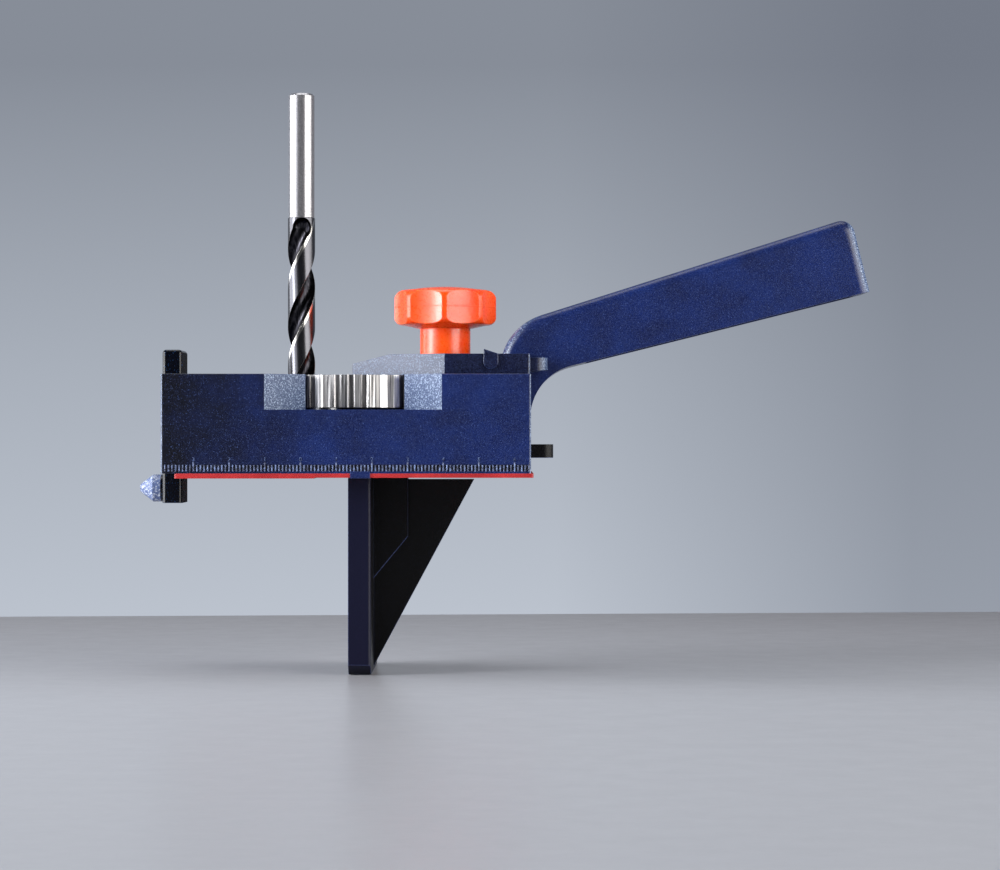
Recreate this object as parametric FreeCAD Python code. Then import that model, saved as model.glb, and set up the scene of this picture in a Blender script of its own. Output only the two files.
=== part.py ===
import FreeCAD, Part
import math
import os

# A dowel drilling jig that sits on a board's edge. All sizes are in millimetres.
# The Z axis is the working drill bush, z = 0 is the seat on the board's edge,
# and X runs from the edge stop past the knob to the handle.

# Housing
housing_left = 37.4
housing_right = 66.4
housing_width = 64.0
wall = 3.0
corner_r = 0.6
rim_r = 0.4

# Handle, moulded with the housing
handle_root_inset = 8.8
handle_width = 27.0
handle_wall = 2.6
handle_edge_r = 3.0
handle_top_end_x = 157.0
handle_top_rise = 44.9
handle_top_slope = 17.56
handle_end_x = 163.8
handle_end_slope = 76.0
handle_bottom_rise = 3.0
handle_bottom_x = 79.6
handle_bottom_slope = 14.0
handle_root_r = 17.0
handle_throat_r = 15.5
handle_nose_r = 4.0

# Sole
sole_thickness = 1.4
sole_inset_left = 3.8
sole_overhang_right = 0.7
sole_relief = 0.2
sole_relief_x = 5.5
sole_opening_r = 22.3

# Sole screws
sole_screw_d = 3.0
sole_screw_head_d = 5.8
sole_screw_length = 11.0
sole_post_d = 8.0
sole_post_inset_left = 9.4
sole_post_inset_right = 6.4
sole_post_inset_side = 6.0

# Turret
bush_circle_r = 15.5
wheel_d = 44.6
wheel_thickness = 9.3
tooth_count = 36
tooth_groove_depth = 0.4
tooth_groove_width = 2.0
tooth_groove_floor = 1.2
bush_bores = (6.0, 8.0, 10.0)
bush_angles = (120.0, 180.0, 240.0)
bush_walls = (1.2, 1.0, 0.8)
bush_bottom = 2.0
turret_swing = 60.0

# Turret pivot and detent
pivot_d = 6.0
pivot_thread_d = 4.0
pivot_thread_end = 1.2
pivot_head_d = 10.0
pivot_head_height = 2.8
washer_thickness = 1.0
pivot_socket = 3.0
pivot_head_sink = 0.15
boss_d = 11.0
boss_gap = 0.7
boss_height = 9.7
boss_skin = 1.0
detent_ball_d = 4.0
detent_spring_wire = 0.5
detent_spring_turns = 4
detent_circle_r = 16.0
detent_dimple_depth = 0.6

# Thumb notches, front and back
notch_x = 16.5
notch_mouth = 49.8
notch_inner = 28.1
notch_depth = 10.1

# Drill bit
drill_d = 8.0
drill_shank_d = 7.5
drill_length = 111.1
drill_flute_length = 72.0
drill_lead = 45.0
drill_web = 2.4
drill_flute_r = 3.0
drill_point_angle = 118.0
drill_chamfer = 0.6
drill_tip_z = 0.2
drill_turn = 52.0

# Clamp plate
plate_thickness = 5.9
plate_tip_x = 15.2
plate_tip_width = 13.0
plate_tip_drop = 2.6
plate_slope_start_x = 26.2
plate_shoulder_x = 42.0
plate_width = 44.0
plate_end_inset = 0.2
plate_fork_depth = 9.7
ear_length = 5.1
ear_inset = 0.3
ear_rise = 1.0
ear_step = 1.1
ear_set_back = 1.0
tab_inset = 11.1
tab_width = 4.0
tab_height = 4.3
tab_proud = 0.8
tab_wedge = 1.3

# Knob, stud and nut
knob_x = 41.8
knob_d = 29.5
knob_stem_d = 14.6
knob_stem_height = 7.6
knob_under_rise = 1.1
knob_heel_height = 1.9
knob_heel_inset = 2.5
knob_side_height = 6.0
knob_shoulder_height = 2.2
knob_shoulder_inset = 3.4
knob_dome_height = 1.0
knob_lobes = 8
knob_scallop_depth = 1.5
knob_scallop_r = 20.0
stud_d = 5.0
stud_end = 1.8
stud_in_knob = 14.0
stud_chamfer = 0.6
nut_width = 10.0
nut_thickness = 3.0
nut_corner_r = 0.6
knob_washer_d = 13.0

# Fence
fence_face_x = 14.7
fence_thickness = 6.4
fence_width = 48.0
fence_height = 55.7
fence_foot_chamfer = 2.8
fence_edge_r = 0.8
web_thickness = 5.0
web_reach = 29.1
web_foot_gap = 0.9
web_top_gap = 0.6
neck_width = 10.0
neck_depth = 9.9
neck_strut_z = 29.1
neck_strut_rise = 12.0
arm_width = 13.0
arm_thickness = 3.9
arm_bottom = 5.6
arm_end_x = 73.1
arm_end_r = 2.8
arm_flange = 1.2
arm_flange_drop = 3.4
fence_travel_in = 8.0
fence_travel_out = 5.0

# Edge stop
stop_thickness = 5.7
stop_proud = 2.2
stop_width = 16.0
stop_bottom = -7.4
stop_rise = 7.4
stop_edge_r = 1.1
stop_flange_thickness = 1.8
stop_flange_side = 2.5
stop_travel = 8.0
peg_z = -3.2
peg_d = 7.9
peg_tip_d = 2.2
peg_barrel = 3.4
peg_length = 7.1

# Fits
running_gap = 0.05
face_gap = 0.1
slide_gap = 0.3
seat_gap = 0.05

# Places that follow from the sizes above
rotor = FreeCAD.Vector(0, 0, 1)
half_width = housing_width / 2
arm_top = arm_bottom + arm_thickness
boss_bottom = arm_top + boss_gap
pocket_floor = boss_bottom + boss_height
wheel_bottom = pocket_floor + face_gap
wheel_top = wheel_bottom + wheel_thickness
deck_height = wheel_top + face_gap
deck_underside = deck_height - wall
left_x = -housing_left
turret_x = bush_circle_r
wheel_r = wheel_d / 2
pocket_r = wheel_r + slide_gap
plate_bottom = deck_height
plate_top = plate_bottom + plate_thickness
knob_base = plate_top + face_gap
bush_r_most = max(b / 2 + w for b, w in zip(bush_bores, bush_walls))
fence_back_x = fence_face_x + fence_thickness
neck_end_x = fence_back_x + neck_depth
pivot_shoulder_z = wheel_top - pivot_head_sink - pivot_head_height
washer_floor = pivot_shoulder_z - washer_thickness - running_gap
notch_floor = deck_height - notch_depth
stop_top = deck_height + stop_rise
handle_root_x = housing_right - handle_root_inset
handle_top_end_z = deck_height + handle_top_rise
handle_bottom_z = deck_height + handle_bottom_rise
plate_end_x = housing_right - plate_end_inset
tab_x = plate_end_x - tab_inset


def at(x, y, z):
    return FreeCAD.Vector(x, y, z)


def block(x0, x1, y0, y1, z0, z1):
    """A box between two corners."""
    return Part.makeBox(x1 - x0, y1 - y0, z1 - z0, at(x0, y0, z0))


def rod(d, z0, z1, x=0.0, y=0.0):
    """An upright cylinder."""
    return Part.makeCylinder(d / 2, z1 - z0, at(x, y, z0))


def ring(d_out, d_in, z0, z1, x=0.0, y=0.0):
    return rod(d_out, z0, z1, x, y).cut(rod(d_in, z0 - 1, z1 + 1, x, y))


def prism_up(points, z0, z1):
    """A closed plan outline raised from z0 to z1."""
    ring_of = [at(x, y, z0) for x, y in points]
    return Part.Face(Part.makePolygon(ring_of + ring_of[:1])).extrude(at(0, 0, z1 - z0))


def prism_across(points, y0, y1):
    """A closed side outline drawn in x and z, carried from y0 to y1."""
    ring_of = [at(x, y0, z) for x, z in points]
    return Part.Face(Part.makePolygon(ring_of + ring_of[:1])).extrude(at(0, y1 - y0, 0))


def round_edges(shape, radius, wanted):
    """Rounds the edges whose middle and direction meet the test."""
    picked = []
    for edge in shape.Edges:
        run = edge.Vertexes[-1].Point.sub(edge.Vertexes[0].Point)
        if run.Length > 0 and wanted(edge.CenterOfMass, run.normalize()):
            picked.append(edge)
    return shape.makeFillet(radius, picked) if picked else shape


def turned(points, x=0.0, y=0.0):
    """A solid of revolution about an upright axis, from radius and z pairs."""
    outline = [at(x + r, y, z) for r, z in points]
    face = Part.Face(Part.makePolygon(outline + outline[:1]))
    return face.revolve(at(x, y, 0), rotor, 360)


def around_turret(r, degrees):
    a = math.radians(degrees)
    return turret_x + r * math.cos(a), r * math.sin(a)


def save(shape, name):
    """Writes one sub-part as one STEP file."""
    solid = shape.removeSplitter()
    if len(solid.Solids) == 1:
        solid = solid.Solids[0]
    solid.exportStep("parts/" + name + ".step")


def notch_outline(side, grow, past):
    """Plan of a thumb notch: 45 degree flanks, then straight up to the turret."""
    mouth = notch_mouth / 2 + grow + past
    inner = notch_inner / 2 + grow
    mouth_y = half_width + past
    flank_y = mouth_y - (mouth - inner)
    reach = notch_inner / 2 + abs(notch_x - turret_x)
    inner_y = math.sqrt(pocket_r**2 - reach**2) - wall
    points = [
        (notch_x - mouth, mouth_y),
        (notch_x - inner, flank_y),
        (notch_x - inner, inner_y),
        (notch_x + inner, inner_y),
        (notch_x + inner, flank_y),
        (notch_x + mouth, mouth_y),
    ]
    return [(x, side * y) for x, y in points]


def sole_post_places():
    x_left = left_x + sole_post_inset_left
    x_right = housing_right - sole_post_inset_right
    y = half_width - sole_post_inset_side
    return [(x, s * y) for x in (x_left, x_right) for s in (-1, 1)]


def handle_profile():
    """The handle's side outline as lines: root, top, end and underside."""
    top = math.tan(math.radians(handle_top_slope))
    low = math.tan(math.radians(handle_bottom_slope))
    end = math.tan(math.radians(handle_end_slope))

    def top_z(x):
        return handle_top_end_z + (x - handle_top_end_x) * top

    def low_z(x):
        return handle_bottom_z + (x - handle_bottom_x) * low

    foot_z = low_z(handle_end_x)
    crown_x = (foot_z + end * handle_end_x - handle_top_end_z + top * handle_top_end_x) / (end + top)
    return top_z, low_z, (crown_x, top_z(crown_x)), (handle_end_x, foot_z)


def handle():
    top_z, low_z, crown, toe = handle_profile()
    mid = housing_right - wall / 2
    outline = [
        (handle_root_x, deck_underside),
        (handle_root_x, top_z(handle_root_x)),
        crown,
        toe,
        (housing_right, low_z(housing_right)),
        (housing_right, notch_floor / 2),
        (mid, notch_floor / 2),
        (mid, deck_underside),
    ]
    half = handle_width / 2
    grip = prism_across(outline, -half, half)
    near = 0.01

    def is_at(point, x, z):
        return abs(point.x - x) < near and abs(point.z - z) < near

    def corner(x, z):
        return lambda middle, run: abs(run.y) > 0.9 and is_at(middle, x, z)

    grip = round_edges(grip, handle_root_r, corner(handle_root_x, top_z(handle_root_x)))
    grip = round_edges(grip, handle_throat_r, corner(housing_right, low_z(housing_right)))
    grip = round_edges(grip, handle_nose_r, corner(*crown))

    def long_edge(middle, run):
        above = middle.z > deck_height + 2 * handle_edge_r
        over = middle.z > low_z(middle.x) + handle_edge_r
        return abs(run.y) < 0.1 and abs(middle.y) > half - near and above and over

    return round_edges(grip, handle_edge_r, long_edge)


def handle_hollow():
    """The grip is a shell, open along its underside."""
    top_z, low_z, crown, toe = handle_profile()
    skin = handle_wall / math.cos(math.radians(handle_top_slope))
    half = handle_width / 2 - handle_wall
    start_x = handle_bottom_x + wall
    back_x = handle_bottom_x - 3 * wall
    outline = [
        (start_x, low_z(start_x) - wall),
        (start_x, low_z(start_x)),
        (back_x, low_z(back_x) + 3 * wall),
        (back_x + wall, top_z(back_x + wall) - skin),
        (crown[0] - handle_wall, top_z(crown[0] - handle_wall) - skin),
        (toe[0] - handle_wall, toe[1] - wall),
    ]
    return prism_across(outline, -half, half)


def housing_shell():
    outer = block(left_x, housing_right, -half_width, half_width, sole_thickness, deck_height)
    outer = round_edges(outer, corner_r, lambda middle, run: abs(run.z) > 0.9)
    outer = round_edges(outer, rim_r, lambda middle, run: middle.z > deck_height - 0.01)
    inner = block(
        left_x + wall,
        housing_right - wall,
        wall - half_width,
        half_width - wall,
        sole_thickness - 1,
        deck_underside,
    )
    return outer.cut(inner)


def turret_cup():
    """The pocket's wall and floor, and the walls of both thumb notches."""
    cup = rod(2 * (pocket_r + wall), pocket_floor - wall, deck_height, turret_x)
    inside = block(
        left_x + 1, housing_right - 1, 1 - half_width, half_width - 1, sole_thickness, deck_height - 1
    )
    for side in (-1, 1):
        walls = prism_up(notch_outline(side, wall, 0), notch_floor - wall, deck_height)
        cup = cup.fuse(walls)
    return cup.common(inside)


def turret_window():
    """The opening in the pocket's floor that the bushes swing in."""
    inner_r = bush_circle_r - bush_r_most - slide_gap
    outer_r = bush_circle_r + bush_r_most + slide_gap
    window = ring(2 * outer_r, 2 * inner_r, 0, deck_height, turret_x)
    spread = math.degrees(math.asin((bush_r_most + 2 * slide_gap) / bush_circle_r))
    first = max(bush_angles) + turret_swing + spread
    kept = 360 - first
    reach = 2 * outer_r
    wedge = prism_up(
        [
            (turret_x, 0),
            around_turret(reach, kept),
            (turret_x + reach * 1.2, 0),
            around_turret(reach, -kept),
        ],
        -1,
        deck_height + 1,
    )
    return window.cut(wedge)


def clamp_rails():
    """Two rails under the deck that the fence's arm is drawn up against."""
    rails = []
    near_x = turret_x + pocket_r - wall
    inner = stud_d / 2 + 2 * slide_gap
    outer = arm_width / 2 + slide_gap
    for side in (-1, 1):
        ys = sorted((side * inner, side * (outer + wall)))
        rails.append(
            block(near_x, housing_right - 1, ys[0], ys[1], arm_top + face_gap, deck_height - 1)
        )
        ys = sorted((side * outer, side * (outer + wall)))
        rails.append(
            block(near_x, housing_right - 1, ys[0], ys[1], arm_bottom - 1, deck_height - 1)
        )
    return rails


def pivot_bosses():
    pivot = rod(boss_d, boss_bottom, pocket_floor, turret_x)
    detent_x = turret_x + detent_circle_r
    cup_d = detent_ball_d + 2 * slide_gap + wall
    return pivot.fuse(rod(cup_d, boss_bottom, pocket_floor, detent_x))


def body():
    shape = housing_shell()
    extras = [turret_cup(), pivot_bosses(), handle()] + clamp_rails()
    for x, y in sole_post_places():
        extras.append(rod(sole_post_d, sole_thickness, deck_height - 1, x, y))
    shape = shape.fuse(extras)
    pocket = rod(2 * pocket_r, pocket_floor, deck_height + 1, turret_x)
    cuts = [pocket, turret_window(), handle_hollow()]
    for side in (-1, 1):
        cuts.append(prism_up(notch_outline(side, 0, 1), notch_floor, deck_height + 1))
    cuts.append(rod(pivot_thread_d + 2 * seat_gap, boss_bottom + boss_skin, pocket_floor + 1, turret_x))
    ball_hole = detent_ball_d + 2 * slide_gap
    cuts.append(rod(ball_hole, boss_bottom + boss_skin, pocket_floor + 1, turret_x + detent_circle_r))
    cuts.append(rod(stud_d + 2 * slide_gap, arm_top, deck_height + 1, knob_x))
    for x, y in sole_post_places():
        cuts.append(rod(sole_screw_d + 2 * seat_gap, 0, sole_screw_length + 1, x, y))
    side = arm_width / 2 + slide_gap
    window_z = arm_bottom - slide_gap
    window_x = housing_right - 2 * wall
    cuts.append(block(window_x, housing_right + 1, -side, side, window_z, arm_top + face_gap))
    side = stop_width / 2 + slide_gap / 2
    cuts.append(block(left_x - 1, left_x + wall + 1, -side, side, 0, deck_height + 1))
    return shape.cut(cuts)


def sole_plate():
    left = left_x + sole_inset_left
    right = housing_right + sole_overhang_right
    plate = block(left, right, -half_width, half_width, 0, sole_thickness)
    plate = round_edges(plate, corner_r, lambda middle, run: abs(run.z) > 0.9)
    plate = plate.cut(block(sole_relief_x, right + 1, -half_width - 1, half_width + 1, -1, sole_relief))
    plate = plate.cut(rod(2 * sole_opening_r, -1, sole_thickness + 1, turret_x))
    head_r = sole_screw_head_d / 2 + seat_gap
    low_r = sole_screw_d / 2 + seat_gap
    for x, y in sole_post_places():
        plate = plate.cut(Part.makeCone(head_r, low_r, sole_thickness, at(x, y, 0)))
    return plate


def sole_screws():
    """Four countersunk screws, heads just below the sole's face."""
    bottom = sole_relief + seat_gap
    r = sole_screw_d / 2
    head_r = r + (sole_screw_head_d / 2 - r) * (1 - bottom / sole_thickness)
    outline = [
        (0, bottom),
        (head_r, bottom),
        (r, sole_thickness),
        (r, sole_screw_length),
        (0, sole_screw_length),
    ]
    return Part.makeCompound([turned(outline, x, y) for x, y in sole_post_places()])


def turret_wheel():
    """A thumb wheel with broad teeth, three bush seats and a sunk pivot."""
    wheel = rod(wheel_d, wheel_bottom, wheel_top, turret_x)
    low = tooth_groove_floor / 2
    wide = tooth_groove_width - low
    floor_x = turret_x + wheel_r - tooth_groove_depth
    outside_x = floor_x + 2 * tooth_groove_depth
    outline = [(floor_x, -low), (outside_x, -wide), (outside_x, wide), (floor_x, low)]
    cuts = []
    for i in range(tooth_count):
        groove = prism_up(outline, wheel_bottom - 1, wheel_top + 1)
        groove.rotate(at(turret_x, 0, 0), rotor, i * 360 / tooth_count)
        cuts.append(groove)
    for bore, side, angle in zip(bush_bores, bush_walls, bush_angles):
        x, y = around_turret(bush_circle_r, angle)
        cuts.append(rod(bore + 2 * side + 2 * seat_gap, wheel_bottom - 1, wheel_top + 1, x, y))
    cuts.append(rod(pivot_d + 2 * running_gap, wheel_bottom - 1, wheel_top + 1, turret_x))
    cuts.append(rod(pivot_head_d + 4 * slide_gap, washer_floor, wheel_top + 1, turret_x))
    for angle in (-turret_swing, 0, turret_swing):
        x, y = around_turret(detent_circle_r, angle)
        cuts.append(Part.makeCone(2 * detent_dimple_depth, 0, detent_dimple_depth, at(x, y, wheel_bottom)))
    return wheel.cut(cuts)


def bush(bore, side, angle):
    x, y = around_turret(bush_circle_r, angle)
    sleeve = ring(bore + 2 * side, bore, bush_bottom, wheel_top, x, y)
    lead_in = side / 2
    mouth = Part.makeCone(bore / 2, bore / 2 + lead_in, lead_in, at(x, y, wheel_top - lead_in))
    return sleeve.cut(mouth)


def pivot_screw():
    """A shoulder screw with a hexagon socket, the turret's axle."""
    screw = rod(pivot_d, pocket_floor, pivot_shoulder_z, turret_x)
    head_top = pivot_shoulder_z + pivot_head_height
    screw = screw.fuse(rod(pivot_head_d, pivot_shoulder_z, head_top, turret_x))
    thread_foot = boss_bottom + boss_skin + pivot_thread_end
    screw = screw.fuse(rod(pivot_thread_d, thread_foot, pocket_floor, turret_x))
    across = pivot_socket / math.cos(math.pi / 6)
    corners = [
        (turret_x + across / 2 * math.cos(i * math.pi / 3), across / 2 * math.sin(i * math.pi / 3))
        for i in range(6)
    ]
    return screw.cut(prism_up(corners, pivot_shoulder_z + pivot_head_height / 2, head_top + 1))


def pivot_washer():
    bottom = washer_floor + running_gap
    hole_d = pivot_d + 2 * running_gap
    return ring(pivot_head_d + 2 * slide_gap, hole_d, bottom, bottom + washer_thickness, turret_x)


def detent_ball():
    r = detent_ball_d / 2
    return Part.makeSphere(r, at(turret_x + detent_circle_r, 0, pocket_floor - r))


def detent_spring():
    """A square-wire coil spring, from the bottom of its hole to the ball that sits in it."""
    half = detent_spring_wire / 2
    ball_r = detent_ball_d / 2
    coil_r = ball_r - half
    inner_r = coil_r - half
    touch = math.sqrt(ball_r**2 - inner_r**2)
    bottom = boss_bottom + boss_skin + half
    top = pocket_floor - ball_r - touch - half - running_gap
    helix = Part.makeHelix((top - bottom) / detent_spring_turns, top - bottom, coil_r)
    corners = [
        at(coil_r + side * half, 0, rise * half) for side, rise in ((-1, -1), (1, -1), (1, 1), (-1, 1))
    ]
    start = Part.makePolygon(corners + corners[:1])
    coil = Part.Wire(helix.Edges).makePipeShell([start], True, True)
    coil.translate(at(turret_x + detent_circle_r, 0, bottom))
    return coil


def flute_cutter(side):
    """The twisted bar of round section that clears one flute and ends it in a round scoop."""
    length = drill_flute_length + 1
    spine = Part.Wire(Part.makeLine(at(0, 0, -1), at(0, 0, length - 1)))
    helix = Part.makeHelix(drill_lead, length, drill_d / 2)
    helix.translate(at(0, 0, -1))
    centre = side * (drill_web / 2 + drill_flute_r)
    section = Part.Wire(Part.Circle(at(centre, 0, -1), rotor, drill_flute_r).toShape())
    sweep = Part.BRepOffsetAPI.MakePipeShell(spine)
    sweep.setAuxiliarySpine(Part.Wire(helix.Edges), True, 0)
    sweep.add(section, False, False)
    sweep.build()
    sweep.makeSolid()
    a = 2 * math.pi * length / drill_lead
    end = at(centre * math.cos(a), centre * math.sin(a), length - 1)
    return sweep.shape(), Part.makeSphere(drill_flute_r, end)


def drill_bit():
    """A twist drill: cone point, two flutes, and a plain shank a little thinner than these."""
    r = drill_d / 2 - running_gap
    shank_r = drill_shank_d / 2
    point = r / math.tan(math.radians(drill_point_angle / 2))
    shank_z = drill_flute_length + drill_flute_r + 2 * running_gap
    bit = turned(
        [
            (0, 0),
            (r, point),
            (r, shank_z - r + shank_r),
            (shank_r, shank_z),
            (shank_r, drill_length - drill_chamfer),
            (shank_r - drill_chamfer, drill_length),
            (0, drill_length),
        ]
    )
    for side in (-1, 1):
        bit = bit.cut(flute_cutter(side))
    bit.rotate(at(0, 0, 0), rotor, drill_turn)
    bit.translate(at(0, 0, drill_tip_z))
    return bit


def clamp_plate():
    """The plate that the knob draws down: a pointed nose and a forked tail."""
    tip = plate_tip_width / 2
    half = plate_width / 2
    outline = [
        (plate_tip_x, -tip),
        (plate_shoulder_x, -half),
        (plate_end_x, -half),
        (plate_end_x, half),
        (plate_shoulder_x, half),
        (plate_tip_x, tip),
    ]
    plate = prism_up(outline, plate_bottom, plate_top)
    plate = round_edges(
        plate, corner_r, lambda middle, run: abs(run.z) > 0.9 and middle.x > plate_end_x - 1
    )
    run = plate_slope_start_x - plate_tip_x
    slope = prism_across(
        [
            (plate_tip_x - run, plate_top - 2 * plate_tip_drop),
            (plate_slope_start_x, plate_top),
            (plate_tip_x - run, plate_top),
        ],
        -half,
        half,
    )
    fork = handle_width / 2 + slide_gap
    fork_x = plate_end_x - plate_fork_depth
    cuts = [
        slope,
        block(fork_x, plate_end_x + 1, -fork, fork, plate_bottom - 1, plate_top + 1),
        rod(stud_d + 2 * slide_gap, plate_bottom - 1, plate_top + 1, knob_x),
        rod(knob_washer_d + 2 * seat_gap, plate_top - washer_thickness, plate_top + 1, knob_x),
    ]
    plate = plate.cut(cuts)
    return plate.fuse([ear(side) for side in (-1, 1)] + [side_tab(side) for side in (-1, 1)])


def ear(side):
    """A rounded finger lug at each end of the fork, a step behind its flank."""
    inner = handle_width / 2 + slide_gap
    outer = plate_width / 2 - ear_set_back
    low, high = sorted((side * inner, side * outer))
    bottom = plate_bottom + ear_inset
    top = plate_top - ear_step
    end = plate_end_x + ear_length
    lug = prism_across(
        [(plate_end_x - wall, top), (plate_end_x - wall, bottom), (end, bottom + ear_rise), (end, top)],
        low,
        high,
    )
    r = (outer - inner) / 2 - seat_gap
    return round_edges(lug, r, lambda middle, run: abs(run.z) > 0.9 and middle.x > plate_end_x + 1)


def side_tab(side):
    """A small rounded catch on the plate's flank, with a wedge on top."""
    y0 = side * (plate_width / 2 - tab_proud)
    y1 = side * (plate_width / 2 + tab_proud)
    low, high = min(y0, y1), max(y0, y1)
    r = tab_width / 2
    bottom = plate_top - tab_height
    pad = block(tab_x - r, tab_x + r, low, high, bottom + r, plate_top)
    toe = Part.makeCylinder(r, high - low, at(tab_x, low, bottom + r), at(0, 1, 0))
    wedge = prism_across(
        [(tab_x - r, plate_top), (tab_x - r, plate_top + tab_wedge), (tab_x + r, plate_top)], low, high
    )
    return pad.fuse([toe, wedge])


def knob_profile():
    """Half of the knob's section: stem, nearly flat underside, heel, side, shoulder and dome."""
    r = knob_d / 2
    stem = knob_stem_d / 2
    rim = r - knob_shoulder_inset
    under = knob_base + knob_stem_height
    heel = under + knob_under_rise
    side = heel + knob_heel_height
    shoulder = side + knob_side_height
    top = shoulder + knob_shoulder_height
    crown = top + knob_dome_height
    lines = [
        at(0, 0, crown),
        at(0, 0, knob_base),
        at(stem, 0, knob_base),
        at(stem, 0, under),
        at(r - knob_heel_inset, 0, heel),
    ]
    edges = [Part.makeLine(a, b) for a, b in zip(lines, lines[1:])]
    share = math.sqrt(0.5)
    bend = at(r - (1 - share) * knob_heel_inset, 0, side - share * knob_heel_height)
    edges.append(Part.Arc(lines[-1], bend, at(r, 0, side)).toShape())
    edges.append(Part.makeLine(at(r, 0, side), at(r, 0, shoulder)))
    bend = at(r - (1 - share) * knob_shoulder_inset, 0, shoulder + share * knob_shoulder_height)
    edges.append(Part.Arc(at(r, 0, shoulder), bend, at(rim, 0, top)).toShape())
    dome_r = (rim**2 + knob_dome_height**2) / (2 * knob_dome_height)
    bend = at(rim / 2, 0, crown - dome_r + math.sqrt(dome_r**2 - rim**2 / 4))
    edges.append(Part.Arc(at(rim, 0, top), bend, at(0, 0, crown)).toShape())
    return Part.Face(Part.Wire(edges)), under, crown


def knob():
    """A lobed knob on a round stem, bored for the stud."""
    profile, under, crown = knob_profile()
    head = profile.revolve(at(0, 0, 0), rotor, 360)
    centre = knob_d / 2 - knob_scallop_depth + knob_scallop_r
    scallops = []
    for i in range(knob_lobes):
        a = math.radians((i + 0.5) * 360 / knob_lobes - 90)
        x = centre * math.cos(a)
        y = centre * math.sin(a)
        scallops.append(rod(2 * knob_scallop_r, under - 1, crown + 1, x, y))
    head = head.cut(scallops)
    head = head.cut(rod(stud_d + 2 * seat_gap, knob_base - 1, knob_base + stud_in_knob, 0))
    head.translate(at(knob_x, 0, 0))
    return head


def clamp_stud():
    r = stud_d / 2
    top = knob_base + stud_in_knob - seat_gap
    points = [(0, stud_end), (r - stud_chamfer, stud_end), (r, stud_end + stud_chamfer), (r, top), (0, top)]
    return turned(points, knob_x)


def knob_washer():
    return ring(knob_washer_d, stud_d + 2 * slide_gap, plate_top - washer_thickness, plate_top, knob_x)


def clamp_nut():
    """A square nut, kept from turning by the arm's flanges."""
    top = arm_bottom - running_gap
    half = nut_width / 2
    nut = block(knob_x - half, knob_x + half, -half, half, top - nut_thickness, top)
    nut = round_edges(nut, nut_corner_r, lambda middle, run: abs(run.z) > 0.9)
    return nut.cut(rod(stud_d + 2 * running_gap, 0, top + 1, knob_x))


def fence_plate():
    half = fence_width / 2
    plate = block(fence_face_x, fence_back_x, -half, half, -fence_height, 0)
    foot = -fence_height + 0.01

    def foot_end(middle, run):
        return middle.z < foot and abs(run.x) > 0.9

    ends = [
        e for e in plate.Edges
        if foot_end(e.CenterOfMass, e.Vertexes[-1].Point.sub(e.Vertexes[0].Point).normalize())
    ]
    plate = plate.makeChamfer(fence_foot_chamfer, ends)
    return round_edges(
        plate, fence_edge_r, lambda middle, run: abs(run.z) > 0.9 and middle.x > fence_back_x - 0.01
    )


def fence_arm():
    """The slotted arm that carries the fence, with flanges that hold the nut."""
    half = arm_width / 2
    arm = block(fence_back_x, arm_end_x, -half, half, arm_bottom, arm_top)
    arm = round_edges(
        arm, arm_end_r, lambda middle, run: abs(run.z) > 0.9 and middle.x > arm_end_x - 0.01
    )
    slot_half = stud_d / 2 + slide_gap
    near_x = knob_x - fence_travel_out
    far_x = knob_x + fence_travel_in
    slot = block(near_x, far_x, -slot_half, slot_half, arm_bottom - 1, arm_top + 1)
    for x in (near_x, far_x):
        slot = slot.fuse(rod(2 * slot_half, arm_bottom - 1, arm_top + 1, x))
    flange_start = neck_end_x - 1
    flange_end = housing_right - wall - fence_travel_out - slide_gap
    flanges = []
    for side in (-1, 1):
        ys = sorted((side * (half - arm_flange), side * half))
        flanges.append(
            block(flange_start, flange_end, ys[0], ys[1], arm_bottom - arm_flange_drop, arm_bottom)
        )
    return arm.cut(slot).fuse(flanges)


def fence():
    """Fence plate, gusset web, neck and arm in one moulding."""
    low = web_foot_gap - fence_height
    inside = fence_back_x - 1
    web_top = -web_top_gap
    web = prism_across(
        [(inside, low), (fence_back_x, low), (fence_back_x + web_reach, web_top), (inside, web_top)],
        -web_thickness / 2,
        web_thickness / 2,
    )
    neck = prism_across(
        [
            (inside, -neck_strut_z),
            (fence_back_x, -neck_strut_z),
            (neck_end_x, neck_strut_rise - neck_strut_z),
            (neck_end_x, arm_bottom + 1),
            (fence_back_x, arm_bottom + 1),
            (fence_back_x, 2 * web_top),
            (inside, 2 * web_top),
        ],
        -neck_width / 2,
        neck_width / 2,
    )
    return fence_plate().fuse([web, neck, fence_arm()])


def edge_stop():
    """A sliding bar in the end wall, with a cone-nosed peg at its foot."""
    outer = left_x - stop_proud
    inner = outer + stop_thickness
    half = stop_width / 2
    bar = block(outer, inner, -half, half, stop_bottom, stop_top)
    bar = round_edges(bar, stop_edge_r, lambda middle, run: abs(run.z) > 0.9 or middle.z > stop_top - 0.01)
    reach = half + stop_flange_side
    low = sole_thickness + slide_gap
    high = deck_underside - slide_gap - stop_travel
    inside = left_x + wall + slide_gap
    flange = block(inside, inside + stop_flange_thickness, -reach, reach, low, high)
    tongue = block(inner - 1, inside + 1, slide_gap - half, half - slide_gap, low, high)
    r = peg_d / 2
    tip = peg_tip_d / 2
    barrel = Part.makeCylinder(r, peg_barrel + 1, at(outer + 1, 0, peg_z), at(-1, 0, 0))
    nose = Part.makeCone(
        r, tip, peg_length - peg_barrel, at(outer - peg_barrel, 0, peg_z), at(-1, 0, 0)
    )
    return bar.fuse([flange, tongue, barrel, nose])


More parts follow.
